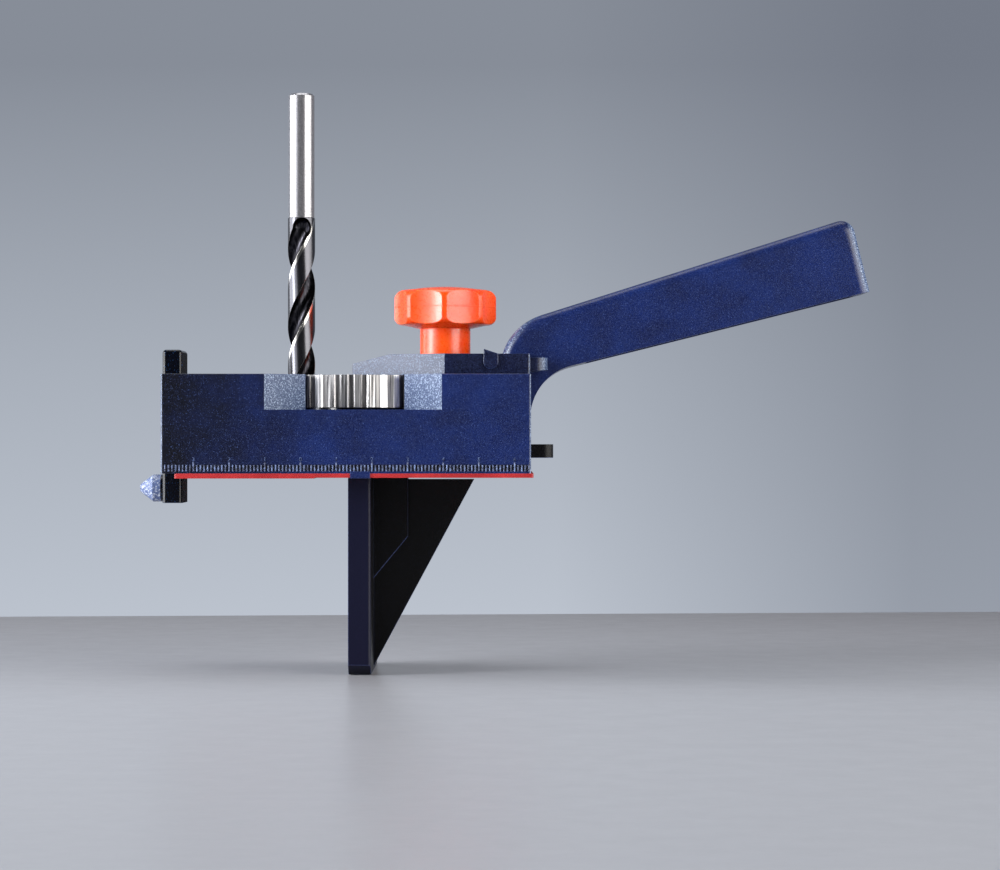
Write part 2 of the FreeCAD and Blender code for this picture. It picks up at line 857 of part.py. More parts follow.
def main():
    os.makedirs("parts", exist_ok=True)
    save(body(), "body")
    save(sole_plate(), "sole_plate")
    save(sole_screws(), "sole_screws")
    save(turret_wheel(), "turret_wheel")
    for bore, side, angle in zip(bush_bores, bush_walls, bush_angles):
        save(bush(bore, side, angle), "bush_%d" % round(bore))
    save(pivot_screw(), "pivot_screw")
    save(pivot_washer(), "pivot_washer")
    save(detent_ball(), "detent_ball")
    save(detent_spring(), "detent_spring")
    save(drill_bit(), "drill_bit")
    save(clamp_plate(), "clamp_plate")
    save(knob(), "knob")
    save(clamp_stud(), "clamp_stud")
    save(knob_washer(), "knob_washer")
    save(clamp_nut(), "clamp_nut")
    save(fence(), "fence")
    save(edge_stop(), "edge_stop")


main()
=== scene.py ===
import math

import bpy
from mathutils import Matrix, Vector


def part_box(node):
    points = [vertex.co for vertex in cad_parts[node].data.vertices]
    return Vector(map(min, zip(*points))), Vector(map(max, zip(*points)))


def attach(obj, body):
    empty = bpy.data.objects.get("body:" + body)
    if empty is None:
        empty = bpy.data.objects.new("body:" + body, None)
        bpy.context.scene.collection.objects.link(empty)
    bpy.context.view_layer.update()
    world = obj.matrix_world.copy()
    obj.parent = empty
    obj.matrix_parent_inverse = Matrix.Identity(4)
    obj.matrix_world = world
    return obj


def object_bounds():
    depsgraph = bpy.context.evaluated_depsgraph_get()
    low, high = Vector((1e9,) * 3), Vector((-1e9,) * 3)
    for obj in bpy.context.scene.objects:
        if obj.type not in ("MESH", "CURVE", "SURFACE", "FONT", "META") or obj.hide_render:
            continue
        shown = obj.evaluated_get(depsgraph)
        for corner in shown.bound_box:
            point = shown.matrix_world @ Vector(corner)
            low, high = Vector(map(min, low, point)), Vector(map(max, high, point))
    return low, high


MM = 0.001

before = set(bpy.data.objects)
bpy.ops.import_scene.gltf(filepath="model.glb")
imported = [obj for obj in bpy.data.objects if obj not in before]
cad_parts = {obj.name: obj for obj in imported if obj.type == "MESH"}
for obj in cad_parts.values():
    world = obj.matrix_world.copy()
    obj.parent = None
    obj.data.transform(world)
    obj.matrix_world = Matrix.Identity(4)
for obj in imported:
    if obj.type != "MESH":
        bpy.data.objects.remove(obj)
cad_low, cad_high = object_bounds()


# Sizes and places, in millimetres and degrees

WALL_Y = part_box("body")[1].y / MM

RULER_FOOT = 2.0
RULER_RIB = 1.8
RULER_LONG_RIB = 2.5
RULER_RIB_WIDTH = 0.44
RULER_ZERO_X = 1.8
RULER_MARKS = 103
MARKS_BEFORE_ZERO = 38
MARKS_TO_A_LONG_ONE = 10
DIGIT_Z = 4.8
DIGIT_HEIGHT = 1.7
DIGIT_RELIEF = 0.1
DIGITS_FROM, DIGITS_TO = -3, 6

CATCH_X = (15.7, 21.3)
CATCH_Z = (0.1, 2.0)
CATCH_DEPTH = 0.26
CATCH_GAP = 0.04

DARK_END_X = 10.0
DARK_END_BLUR = 25.0
DARK_END_WANDER = 40.0
PEG_LENGTH = 6.0
PARTING_BELOW_TOP = 5.9
PARTING_HALF = 0.08
GROOVE_BELOW_RIM = 0.22
GROOVE_BLUR = 0.14
SHANK_FOOT = 75.25
FLUTE_LEAD = 45.0
FLUTE_TURN = 58.4
LAND_R = 3.89
MARGIN_AT = 50.0
MARGIN_HALF = 7.0
SCREW_HEAD_R = 2.7
CROSS_ARM_HALF = 0.38
CROSS_REACH = 1.55

JIG_MIDDLE = (57, 0, 20)
FLOOR_Z = cad_low.z / MM - 0.2
TABLE_HALF = 2500
TABLE_END_LEFT, TABLE_END_RIGHT = 60, 470
CURTAIN_HALF = 3000
CURTAIN_Y = 900
CURTAIN_Z = (-1500, 2500)


# Wiring shader and geometry trees

def connect(tree, value, socket):
    """Links a node's output to a socket, or gives the socket a plain value."""
    if isinstance(value, bpy.types.NodeSocket):
        tree.links.new(value, socket)
    else:
        socket.default_value = value


def add(tree, kind, settings=None, **sockets):
    """A new node. A socket is given by its name, with _ for a space, or as in0, in1 and so on."""
    node = tree.nodes.new(kind)
    for key, value in (settings or {}).items():
        setattr(node, key, value)
    for key, value in sockets.items():
        place = int(key[2:]) if key[:2] == "in" and key[2:].isdigit() else key.replace("_", " ")
        connect(tree, value, node.inputs[place])
    return node


def work_out(tree, operation, first, second=0.0, third=0.0):
    """The result of one Math node."""
    return add(tree, "ShaderNodeMath", {"operation": operation}, in0=first, in1=second, in2=third).outputs[0]


def times(tree, first, second):
    """The product of two values."""
    return work_out(tree, "MULTIPLY", first, second)


def less(tree, first, second):
    """What is left of the first value without the second."""
    return work_out(tree, "SUBTRACT", first, second)


def size_of(tree, value):
    """A value without its sign."""
    return work_out(tree, "ABSOLUTE", value)


def stretch(tree, value, low, high, to_low=0.0, to_high=1.0):
    """A value taken from one range to another and held inside it."""
    return add(tree, "ShaderNodeMapRange", None, Value=value, From_Min=low, From_Max=high,
               To_Min=to_low, To_Max=to_high).outputs[0]


def of_noise(tree, noise, to_low=0.0, to_high=1.0):
    """The middle range of a noise, which holds most of it, taken to another range."""
    return stretch(tree, noise, 0.3, 0.7, to_low, to_high)


def within(tree, value, limit, blur):
    """A mask of 1 below a limit and 0 above it, with a soft border of the blur to each side."""
    return stretch(tree, value, limit + blur, limit - blur)


def blend_colour(tree, share, first, second):
    """A colour between two, by share."""
    node = add(tree, "ShaderNodeMix", {"data_type": "RGBA"})
    for place, value in ((0, share), (6, first), (7, second)):
        connect(tree, value, node.inputs[place])
    return node.outputs[2]


def lay_over(tree, colour, mask, share, tone):
    """A colour with another tone laid over it where a mask is, up to a share."""
    return blend_colour(tree, times(tree, mask, share), colour, tone)


def parts_of(tree, vector):
    """The X, Y and Z of a vector."""
    return add(tree, "ShaderNodeSeparateXYZ", None, Vector=vector).outputs


def own_place(tree):
    """Where a point is on the piece, in millimetres."""
    coords = add(tree, "ShaderNodeTexCoord")
    return add(tree, "ShaderNodeVectorMath", {"operation": "SCALE"},
               Vector=coords.outputs["Object"], Scale=1 / MM).outputs[0]


def facing(tree):
    """The X, Y and Z of the way that the surface faces."""
    return parts_of(tree, add(tree, "ShaderNodeNewGeometry").outputs["Normal"])


def noise(tree, place, scale, detail, **more):
    """The value of a noise, at so many waves to a millimetre."""
    return add(tree, "ShaderNodeTexNoise", None, Vector=place, Scale=scale, Detail=detail, **more).outputs[0]


def new_effect(name, takes, gives):
    """A shared shader group, with its named inputs and outputs."""
    tree = bpy.data.node_groups.new(name, "ShaderNodeTree")
    for label, value in takes.items():
        tree.interface.new_socket(label, in_out="INPUT", socket_type="NodeSocketFloat").default_value = value
    for label, kind in gives.items():
        tree.interface.new_socket(label, in_out="OUTPUT", socket_type=kind)
    return tree, tree.nodes.new("NodeGroupInput").outputs, tree.nodes.new("NodeGroupOutput").inputs


def put_effect(tree, group, **values):
    """One use of a shared group in a material."""
    return add(tree, "ShaderNodeGroup", {"node_tree": group}, **values).outputs


# Effects that several finishes share

def make_moulded_grain():
    """The fine eroded grain of a mould, and pale painted glints of its points on walls that face aside, where
    the lamps rake.
    """
    tree, given, out = new_effect(
        "moulded_grain", {"Grain Size": 0.3, "Speck Share": 0.2},
        {"Height": "NodeSocketFloat", "Specks": "NodeSocketFloat", "Mottle": "NodeSocketFloat",
         "Raked": "NodeSocketFloat", "Glints": "NodeSocketFloat"})
    place = own_place(tree)
    per_mm = work_out(tree, "DIVIDE", 1.0, given["Grain Size"])
    grain = noise(tree, place, per_mm, 2.0, Roughness=0.6)
    fine = noise(tree, place, times(tree, per_mm, 1.7), 1.0)
    top = less(tree, 0.74, times(tree, given["Speck Share"], 0.3))
    specks = stretch(tree, fine, top, work_out(tree, "ADD", top, 0.08))
    mottle = noise(tree, place, 0.09, 4.0, Roughness=0.65)
    # Painted highlight: a mask of walls that face aside, towards the side lamps.
    way = facing(tree)
    slanted = stretch(tree, size_of(tree, way[1]), 0.08, 0.25)
    aside = times(tree, slanted, stretch(tree, size_of(tree, way[0]), 0.3, 0.6))
    tree.links.new(aside, out["Raked"])
    tree.links.new(stretch(tree, grain, 0.5, 0.72), out["Glints"])
    tree.links.new(grain, out["Height"])
    tree.links.new(specks, out["Specks"])
    tree.links.new(mottle, out["Mottle"])
    return tree


def make_worn_edges():
    """Rounds a sharp edge to the eye, and marks where it is handled and worn."""
    tree, given, out = new_effect(
        "worn_edges", {"Edge Radius": 0.4, "Patchiness": 0.5},
        {"Wear": "NodeSocketFloat", "Normal": "NodeSocketVector"})
    radius = times(tree, given["Edge Radius"], MM)
    rounded = add(tree, "ShaderNodeBevel", {"samples": 6}, Radius=radius).outputs[0]
    flat = add(tree, "ShaderNodeNewGeometry").outputs["Normal"]
    along = add(tree, "ShaderNodeVectorMath", {"operation": "DOT_PRODUCT"}, in0=rounded, in1=flat)
    edge = stretch(tree, along.outputs["Value"], 0.995, 0.86)
    patchy = stretch(tree, noise(tree, own_place(tree), 0.8, 3.0), 0.35, 0.65)
    spared = times(tree, given["Patchiness"], less(tree, 1.0, patchy))
    tree.links.new(times(tree, edge, less(tree, 1.0, spared)), out["Wear"])
    tree.links.new(rounded, out["Normal"])
    return tree


def make_turning_marks():
    """The fine rings that a lathe or grinder leaves round an upright axis at Axis X, and streaks along it."""
    tree, given, out = new_effect(
        "turning_marks", {"Axis X": 0.0, "Ring Pitch": 0.2, "Unevenness": 0.5, "Streak Density": 6.0},
        {"Height": "NodeSocketFloat", "Radius": "NodeSocketFloat", "Streaks": "NodeSocketFloat"})
    place = parts_of(tree, own_place(tree))
    off_x = less(tree, place[0], given["Axis X"])
    squares = [work_out(tree, "POWER", length, 2.0) for length in (off_x, place[1])]
    radius = work_out(tree, "SQRT", work_out(tree, "ADD", *squares))
    ring_place = add(tree, "ShaderNodeCombineXYZ", None, X=radius, Y=times(tree, off_x, 0.03), Z=place[2])
    rings_per_mm = work_out(tree, "DIVIDE", 1.0, given["Ring Pitch"])
    rings = noise(tree, ring_place.outputs[0], rings_per_mm, 3.0, Roughness=given["Unevenness"])
    angle = work_out(tree, "ARCTAN2", place[1], off_x)
    streak_place = add(tree, "ShaderNodeCombineXYZ", None, X=times(tree, angle, given["Streak Density"]),
                       Y=radius, Z=times(tree, place[2], 0.04))
    tree.links.new(rings, out["Height"])
    tree.links.new(radius, out["Radius"])
    tree.links.new(noise(tree, streak_place.outputs[0], 1.0, 2.0), out["Streaks"])
    return tree


def make_settled_dust():
    """Dust and chips on what faces up."""
    tree, given, out = new_effect("settled_dust", {"Amount": 0.3}, {"Dust": "NodeSocketFloat"})
    level = stretch(tree, facing(tree)[2], 0.5, 1.0)
    lying = stretch(tree, noise(tree, own_place(tree), 0.5, 6.0, Roughness=0.7), 0.48, 0.75)
    tree.links.new(times(tree, times(tree, level, lying), given["Amount"]), out["Dust"])
    return tree


moulded_grain = make_moulded_grain()
worn_edges = make_worn_edges()
turning_marks = make_turning_marks()
settled_dust = make_settled_dust()


# Finishes

def shade(red, green, blue):
    """A linear colour from the 0 to 255 tones of a paint card."""
    def linear(tone):
        tone /= 255
        return tone / 12.92 if tone <= 0.04045 else ((tone + 0.055) / 1.055) ** 2.4
    return (linear(red), linear(green), linear(blue), 1.0)


DUST = shade(150, 150, 156)


def new_finish(name, roughness, metallic=0.0, specular=0.5):
    """A material, its tree and the sockets of its shader, on which the uniform values are set."""
    material = bpy.data.materials.new(name)
    material.use_nodes = True
    shader = material.node_tree.nodes["Principled BSDF"].inputs
    shader["Roughness"].default_value = roughness
    shader["Metallic"].default_value = metallic
    shader["Specular IOR Level"].default_value = specular
    return material, material.node_tree, shader


def relief(tree, shader, height, depth, normal=None):
    """Feeds a height, in millimetres of depth, to the shader's normal."""
    bump = add(tree, "ShaderNodeBump", None, Strength=1.0, Distance=depth * MM, Height=height)
    if normal is not None:
        tree.links.new(normal, bump.inputs["Normal"])
    tree.links.new(bump.outputs[0], shader["Normal"])


def middle_and_half(node):
    """Where the middle of a CAD node is along X, and half its length there."""
    low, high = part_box(node)
    return (low.x + high.x) / 2 / MM, (high.x - low.x) / 2 / MM


def ruler_row(tree, place):
    """A mask of the row on each side wall where the ruler's marks stand, for painted shade between them."""
    top = RULER_FOOT + RULER_RIB
    above = stretch(tree, place[2], RULER_FOOT, RULER_FOOT + 0.2)
    below = stretch(tree, place[2], top + 0.2, top)
    outside = stretch(tree, size_of(tree, place[1]), WALL_Y - 0.1, WALL_Y - 0.05)
    return times(tree, times(tree, above, below), outside)


def navy_plastic(name, deep, pale, glint, dust, edge, darker=None):
    """Grained navy plastic: a mottled colour, pale specks, rubbed edges and a little dust.

    Walls that face aside take a pair of painted glint tones, in place of the lamps that rake them. Where a
    darker tone is given, the far left turns to it, and so does the row that the ruler stands on, as painted
    shade between its marks.
    """
    material, tree, shader = new_finish(name, 0.32, specular=0.42)
    speck = shade(88, 110, 172)
    grain = put_effect(tree, moulded_grain, Grain_Size=0.42, Speck_Share=0.3)
    edges = put_effect(tree, worn_edges, Edge_Radius=edge, Patchiness=0.55)
    lying = put_effect(tree, settled_dust, Amount=dust)
    colour = blend_colour(tree, stretch(tree, grain["Mottle"], 0.35, 0.65), deep, pale)
    colour = blend_colour(tree, stretch(tree, grain["Height"], 0.42, 0.72, 0.0, 0.1), colour, speck)
    if darker:
        place = parts_of(tree, own_place(tree))
        uneven = work_out(tree, "MULTIPLY_ADD", grain["Mottle"], DARK_END_WANDER, place[0])
        end = within(tree, uneven, DARK_END_X, DARK_END_BLUR)
        # The far left turns darker, and the ruler's row takes painted shade between its marks.
        share = work_out(tree, "MAXIMUM", end, ruler_row(tree, place))
        colour = blend_colour(tree, share, colour, darker)
    colour = lay_over(tree, colour, grain["Specks"], 0.4, speck)
    # Painted highlight: walls that face aside take pale glint tones where the lamps rake them.
    colour = lay_over(tree, colour, grain["Raked"], 0.9, blend_colour(tree, grain["Glints"], *glint))
    colour = lay_over(tree, colour, edges["Wear"], 0.35, speck)
    colour = blend_colour(tree, lying["Dust"], colour, DUST)
    tree.links.new(colour, shader["Base Color"])
    rough = of_noise(tree, grain["Height"], 0.27, 0.38)
    tree.links.new(less(tree, rough, times(tree, edges["Wear"], 0.1)), shader["Roughness"])
    relief(tree, shader, grain["Height"], 0.04, edges["Normal"])
    return material


def gloss_plastic():
    """The edge stop's glossy blue-black plastic, duller on its ends, with a peg painted pale as a highlight.
    """
    material, tree, shader = new_finish("blue_gloss_plastic", 0.2, specular=0.3)
    grain = put_effect(tree, moulded_grain, Grain_Size=0.8, Speck_Share=0.3)
    edges = put_effect(tree, worn_edges, Edge_Radius=0.25, Patchiness=0.3)
    dull = stretch(tree, size_of(tree, facing(tree)[0]), 0.9, 0.98, 0.0, 0.65)
    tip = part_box("edge_stop")[0].x / MM
    peg = within(tree, parts_of(tree, own_place(tree))[0], tip + PEG_LENGTH, 0.1)
    bar = blend_colour(tree, stretch(tree, grain["Mottle"], 0.35, 0.65), shade(1, 1, 4), shade(3, 5, 16))
    # Painted highlight: the peg is coloured pale where the lamps would glint on it.
    painted_peg_highlight = blend_colour(tree, grain["Glints"], shade(98, 112, 152), shade(214, 222, 238))
    colour = blend_colour(tree, peg, bar, painted_peg_highlight)
    colour = lay_over(tree, colour, grain["Specks"], 0.3, shade(60, 110, 180))
    colour = lay_over(tree, colour, edges["Wear"], 0.7, shade(60, 104, 170))
    tree.links.new(colour, shader["Base Color"])
    rough = of_noise(tree, grain["Height"], 0.16, 0.25)
    tree.links.new(work_out(tree, "ADD", rough, dull), shader["Roughness"])
    relief(tree, shader, grain["Height"], 0.008, edges["Normal"])
    return material


def fence_plastic():
    """Grained plastic, navy where light reaches the fence plate's ends and painted near black as shade
    elsewhere.
    """
    material, tree, shader = new_finish("black_plastic", 0.4, specular=0.2)
    grain = put_effect(tree, moulded_grain, Grain_Size=0.3, Speck_Share=0.2)
    edges = put_effect(tree, worn_edges, Edge_Radius=0.3, Patchiness=0.4)
    lying = put_effect(tree, settled_dust, Amount=0.08)
    across = size_of(tree, parts_of(tree, own_place(tree))[1])
    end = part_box("fence")[1].y / MM
    ends = stretch(tree, across, end - 3.0, end - 0.5)
    # Wear with a painted highlight: edges that face down, and the edges of the plate's ends, turn pale.
    downward = stretch(tree, parts_of(tree, edges["Normal"])[2], 0.05, -0.2)
    wear_and_highlight = times(tree, edges["Wear"], work_out(tree, "MAXIMUM", downward, ends))
    # Painted shade: away from the plate's ends the fence is near black; the ends keep the lit navy.
    black = blend_colour(tree, of_noise(tree, grain["Mottle"]), shade(2, 2, 3), shade(4, 4, 7))
    colour = blend_colour(tree, ends, black, shade(12, 13, 36))
    colour = lay_over(tree, colour, grain["Specks"], 0.35, shade(70, 74, 110))
    colour = lay_over(tree, colour, wear_and_highlight, 0.8, shade(92, 106, 160))
    colour = blend_colour(tree, lying["Dust"], colour, DUST)
    tree.links.new(colour, shader["Base Color"])
    tree.links.new(of_noise(tree, grain["Height"], 0.34, 0.44), shader["Roughness"])
    relief(tree, shader, grain["Height"], 0.03)
    return material


def knob_plastic():
    """Glossy orange plastic with a parting line half way up the knob's head."""
    material, tree, shader = new_finish("orange_plastic", 0.27, specular=0.7)
    shader["Subsurface Weight"].default_value = 0.35
    shader["Subsurface Radius"].default_value = (1.0, 0.3, 0.08)
    shader["Subsurface Scale"].default_value = 4 * MM
    grain = put_effect(tree, moulded_grain, Grain_Size=0.9, Speck_Share=0.1)
    edges = put_effect(tree, worn_edges, Edge_Radius=0.3, Patchiness=0.6)
    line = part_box("knob")[1].z / MM - PARTING_BELOW_TOP
    from_line = size_of(tree, less(tree, parts_of(tree, own_place(tree))[2], line))
    parting = within(tree, from_line, PARTING_HALF, PARTING_HALF)
    mottle = stretch(tree, grain["Mottle"], 0.35, 0.7)
    colour = blend_colour(tree, mottle, shade(255, 74, 6), shade(255, 88, 12))
    colour = lay_over(tree, colour, parting, 0.2, shade(200, 52, 10))
    colour = lay_over(tree, colour, edges["Wear"], 0.25, shade(255, 140, 80))
    tree.links.new(colour, shader["Base Color"])
    tree.links.new(of_noise(tree, grain["Height"], 0.24, 0.34), shader["Roughness"])
    surface = work_out(tree, "ADD", times(tree, grain["Height"], 0.3), parting)
    relief(tree, shader, surface, 0.05, edges["Normal"])
    return material


def rib_plastic():
    """The ruler's raised marks, some painted paler as glints and made smoother than others."""
    material, tree, shader = new_finish("ruler_marks", 0.4)
    # Partly painted highlight: some marks are paler as glints, and smoother as if rubbed.
    wear_and_highlight = stretch(tree, noise(tree, own_place(tree), 0.9, 2.0), 0.4, 0.72)
    tree.links.new(blend_colour(tree, wear_and_highlight, shade(20, 30, 66), shade(112, 132, 180)), shader["Base Color"])
    tree.links.new(stretch(tree, wear_and_highlight, 0.0, 1.0, 0.5, 0.3), shader["Roughness"])
    return material


def sole_plastic():
    """Soft red sole, worn where boards rub it."""
    material, tree, shader = new_finish("red_sole", 0.5)
    grain = put_effect(tree, moulded_grain, Grain_Size=0.25, Speck_Share=0.15)
    edges = put_effect(tree, worn_edges, Edge_Radius=0.2, Patchiness=0.6)
    colour = blend_colour(tree, of_noise(tree, grain["Mottle"]), shade(150, 20, 26), shade(184, 34, 36))
    colour = lay_over(tree, colour, edges["Wear"], 0.3, shade(232, 110, 84))
    tree.links.new(colour, shader["Base Color"])
    tree.links.new(of_noise(tree, grain["Mottle"], 0.42, 0.58), shader["Roughness"])
    relief(tree, shader, grain["Height"], 0.03, edges["Normal"])
    return material


def cast_zinc():
    """Bright die-cast zinc: upright streaks on the toothed rim, grooves painted grey as shade, satin flat
    faces.
    """
    material, tree, shader = new_finish("zinc", 0.26, metallic=1.0)
    axis, rim = middle_and_half("turret_wheel")
    marks = put_effect(tree, turning_marks, Axis_X=axis, Ring_Pitch=0.25, Unevenness=0.6,
                       Streak_Density=34.0)
    edges = put_effect(tree, worn_edges, Edge_Radius=0.15, Patchiness=0.3)
    # Painted shade: the groove floors are darkened.
    painted_groove_shade = within(tree, marks["Radius"], rim - GROOVE_BELOW_RIM, GROOVE_BLUR)
    streak = stretch(tree, marks["Streaks"], 0.36, 0.6)
    way = facing(tree)
    aside = stretch(tree, size_of(tree, way[0]), 0.55, 0.8)
    flat = stretch(tree, size_of(tree, way[2]), 0.5, 0.8)
    colour = blend_colour(tree, streak, shade(128, 126, 128), shade(252, 250, 250))
    colour = lay_over(tree, colour, painted_groove_shade, 0.75, shade(66, 64, 66))
    cast = blend_colour(tree, of_noise(tree, marks["Height"]), shade(150, 150, 152), shade(178, 178, 179))
    tree.links.new(blend_colour(tree, flat, colour, cast), shader["Base Color"])
    # Painted highlight: teeth that face aside lose their metal sheen, so their pale colour shows as lit; flat
    # faces are satin.
    painted_sides_and_satin = times(tree, aside, stretch(tree, streak, 0.0, 0.6))
    painted_sides_and_satin = work_out(tree, "MAXIMUM", painted_sides_and_satin, times(tree, flat, 0.5))
    tree.links.new(work_out(tree, "MULTIPLY_ADD", painted_sides_and_satin, -0.75, 1.0), shader["Metallic"])
    rough = of_noise(tree, marks["Streaks"], 0.24, 0.38)
    tree.links.new(work_out(tree, "MULTIPLY_ADD", flat, 0.12, rough), shader["Roughness"])
    ridges = times(tree, marks["Streaks"], less(tree, 1.0, flat))
    surface = work_out(tree, "MULTIPLY_ADD", marks["Height"], 0.1, ridges)
    relief(tree, shader, surface, 0.05, edges["Normal"])
    return material


def ground_drill():
    """High-speed steel: a bright ground shank, black flutes, dull lands and bright margins along them."""
    material, tree, shader = new_finish("drill_steel", 0.45, metallic=1.0)
    marks = put_effect(tree, turning_marks, Axis_X=0.0, Ring_Pitch=0.12, Unevenness=0.7)
    edges = put_effect(tree, worn_edges, Edge_Radius=0.12, Patchiness=0.3)
    grain = put_effect(tree, moulded_grain, Grain_Size=0.3, Speck_Share=0.2)
    place = parts_of(tree, own_place(tree))
    fluted = within(tree, place[2], SHANK_FOOT, 0.1)
    angle = work_out(tree, "DEGREES", work_out(tree, "ARCTAN2", place[1], place[0]))
    twist = work_out(tree, "MULTIPLY_ADD", place[2], 360 / FLUTE_LEAD, FLUTE_TURN)
    around = work_out(tree, "WRAP", less(tree, angle, twist), 180.0, 0.0)
    margin = within(tree, size_of(tree, less(tree, around, MARGIN_AT)), MARGIN_HALF, 1.0)
    sunk = within(tree, marks["Radius"], LAND_R, 0.04)
    shank = blend_colour(tree, stretch(tree, grain["Height"], 0.35, 0.65),
                         shade(128, 127, 132), shade(166, 165, 169))
    land = blend_colour(tree, margin, shade(82, 82, 87), shade(176, 173, 171))
    flute = blend_colour(tree, stretch(tree, marks["Streaks"], 0.35, 0.7),
                         shade(18, 18, 22), shade(58, 57, 62))
    colour = blend_colour(tree, fluted, shank, blend_colour(tree, sunk, land, flute))
    colour = lay_over(tree, colour, edges["Wear"], fluted, shade(150, 146, 142))
    tree.links.new(colour, shader["Base Color"])
    tree.links.new(of_noise(tree, marks["Height"], 0.2, 0.27), shader["Roughness"])
    tree.links.new(stretch(tree, fluted, 0.0, 1.0, 0.7, 1.0), shader["Metallic"])
    relief(tree, shader, marks["Height"], 0.002, edges["Normal"])
    return material


def turned_steel(name, axis, deep, pale, roughness):
    """Turned or plated steel parts about one upright axis."""
    material, tree, shader = new_finish(name, roughness, metallic=1.0)
    marks = put_effect(tree, turning_marks, Axis_X=axis, Ring_Pitch=0.15, Unevenness=0.55)
    edges = put_effect(tree, worn_edges, Edge_Radius=0.15, Patchiness=0.4)
    colour = blend_colour(tree, of_noise(tree, marks["Height"]), deep, pale)
    colour = lay_over(tree, colour, edges["Wear"], 0.5, shade(240, 240, 242))
    tree.links.new(colour, shader["Base Color"])
    rough = of_noise(tree, marks["Height"], roughness - 0.06, roughness + 0.08)
    tree.links.new(rough, shader["Roughness"])
    relief(tree, shader, marks["Height"], 0.02, edges["Normal"])
    return material


def screw_steel():
    """Plated steel with a cross recess, painted dark as its shade, in the head of each of the four sole
    screws.
    """
    material, tree, shader = new_finish("screw_steel", 0.3, metallic=1.0)
    middle, half = middle_and_half("sole_screws")
    half_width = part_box("sole_screws")[1].y / MM
    place = parts_of(tree, own_place(tree))
    from_middle = size_of(tree, less(tree, place[0], middle))
    across = size_of(tree, less(tree, from_middle, half - SCREW_HEAD_R))
    along = size_of(tree, less(tree, size_of(tree, place[1]), half_width - SCREW_HEAD_R))
    arms = [times(tree, within(tree, narrow, CROSS_ARM_HALF, 0.04), within(tree, wide, CROSS_REACH, 0.05))
            for narrow, wide in ((across, along), (along, across))]
    head = within(tree, facing(tree)[2], -0.6, 0.1)
    cross = times(tree, work_out(tree, "MAXIMUM", *arms), head)
    plating = noise(tree, own_place(tree), 3.0, 3.0)
    plated = blend_colour(tree, of_noise(tree, plating), shade(168, 168, 170), shade(206, 205, 202))
    # Painted shade: each cross recess is near black, and a bump gives it depth.
    tree.links.new(blend_colour(tree, cross, plated, shade(26, 26, 28)), shader["Base Color"])
    tree.links.new(of_noise(tree, plating, 0.24, 0.36), shader["Roughness"])
    relief(tree, shader, times(tree, cross, -1.0), 0.4)
    return material


navy = navy_plastic("navy_plastic", shade(8, 20, 64), shade(11, 30, 85),
                    glint=(shade(60, 78, 114), shade(174, 193, 222)), dust=0.1, edge=0.15,
                    darker=shade(3, 5, 20))
# Painted shade: the clamp plate takes a darker copy of the same navy, with dimmer glint tones.
shaded_navy_plate = navy_plastic("shaded_navy_plate", shade(4, 8, 34), shade(6, 12, 46),
                          glint=(shade(48, 65, 100), shade(146, 166, 198)), dust=0.05, edge=0.3)
black = fence_plastic()
blue_gloss = gloss_plastic()
rib_finish = rib_plastic()
orange = knob_plastic()
red = sole_plastic()
zinc = cast_zinc()
hard = turned_steel("hard_steel", 0.0, shade(120, 122, 128), shade(176, 178, 184), 0.25)
steel = turned_steel("steel", middle_and_half("clamp_stud")[0], shade(160, 160, 160), shade(206, 205, 200),
                     0.3)
drill = ground_drill()
screws = screw_steel()

FINISH_OF = {
    "body": navy, "clamp_plate": shaded_navy_plate, "fence": black, "edge_stop": blue_gloss, "knob": orange,
    "sole_plate": red, "turret_wheel": zinc, "bush_6": hard, "bush_8": hard, "bush_10": hard,
    "drill_bit": drill, "sole_screws": screws,
}
for name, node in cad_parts.items():
    for slot in node.material_slots:
        slot.material = FINISH_OF.get(name, steel)


# The ruler and the small catches along both sides of the housing

def put_object(name, data):
    """A new object in the scene."""
    thing = bpy.data.objects.new(name, data)
    bpy.context.scene.collection.objects.link(thing)
    return thing


